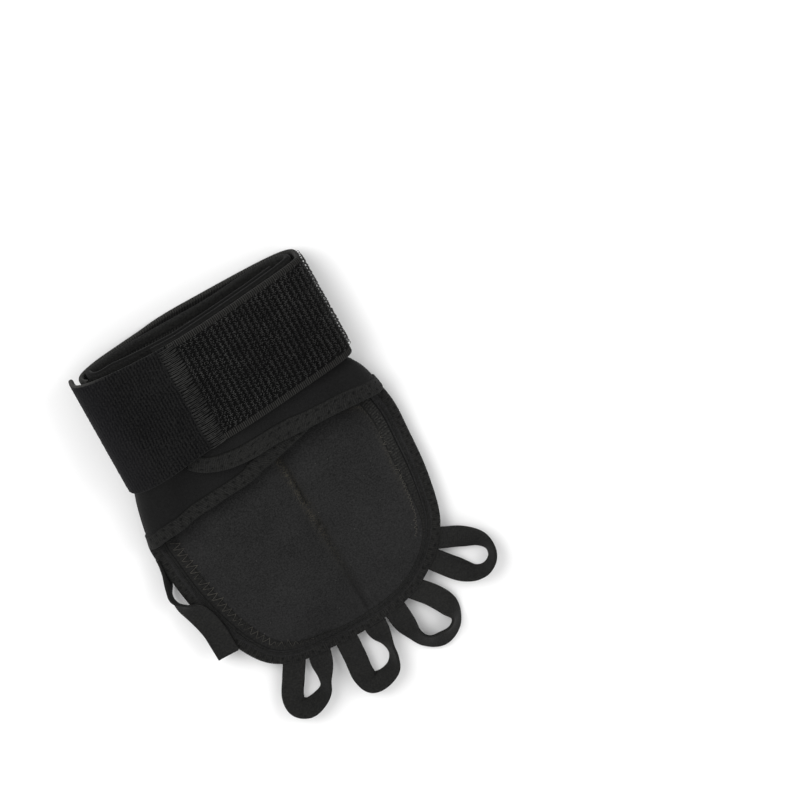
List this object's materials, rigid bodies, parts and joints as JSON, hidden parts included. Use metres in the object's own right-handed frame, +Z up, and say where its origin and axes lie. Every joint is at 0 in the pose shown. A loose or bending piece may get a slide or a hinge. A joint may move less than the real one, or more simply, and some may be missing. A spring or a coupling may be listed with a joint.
{
  "type": "weighted training glove",
  "caption": "Open-palm weighted training glove with a filled pad on the back of the hand, finger loops and a wide wrist tape, lying palm side up.",
  "frame": {"origin": "on the flat underside of the back shell, about the middle of the hand's width", "axes": "+Z up, towards the palm side; +Y towards the wrist; +X towards the little finger; the thumb loop is at -X"},
  "size_m": [0.1336, 0.1952, 0.0382],
  "materials": {
    "neoprene": "matt black knit-faced neoprene",
    "jersey_panel": "matt black jersey-faced neoprene",
    "binding_tape": "black ribbed fold-over binding",
    "velour_tape": "black brushed loop tape",
    "hook_tape": "black woven tape with nylon hooks",
    "ribbon": "black grosgrain ribbon",
    "thread": "black satin-stitched thread"
  },
  "bodies": {
    "root": {"back_shell": "neoprene", "weight_pad": "jersey_panel", "edge_binding": "binding_tape", "left_wing": "neoprene", "left_hem": "binding_tape", "left_rim": "binding_tape", "right_wing": "neoprene", "right_hem": "binding_tape", "right_rim": "binding_tape", "wrist_strap": "velour_tape", "hook_tape": "hook_tape", "strap_seam": "thread", "thumb_loop": "ribbon", "index_loop": "ribbon", "middle_loop": "ribbon", "ring_loop": "ribbon", "little_loop": "ribbon"}
  },
  "joints": []
}
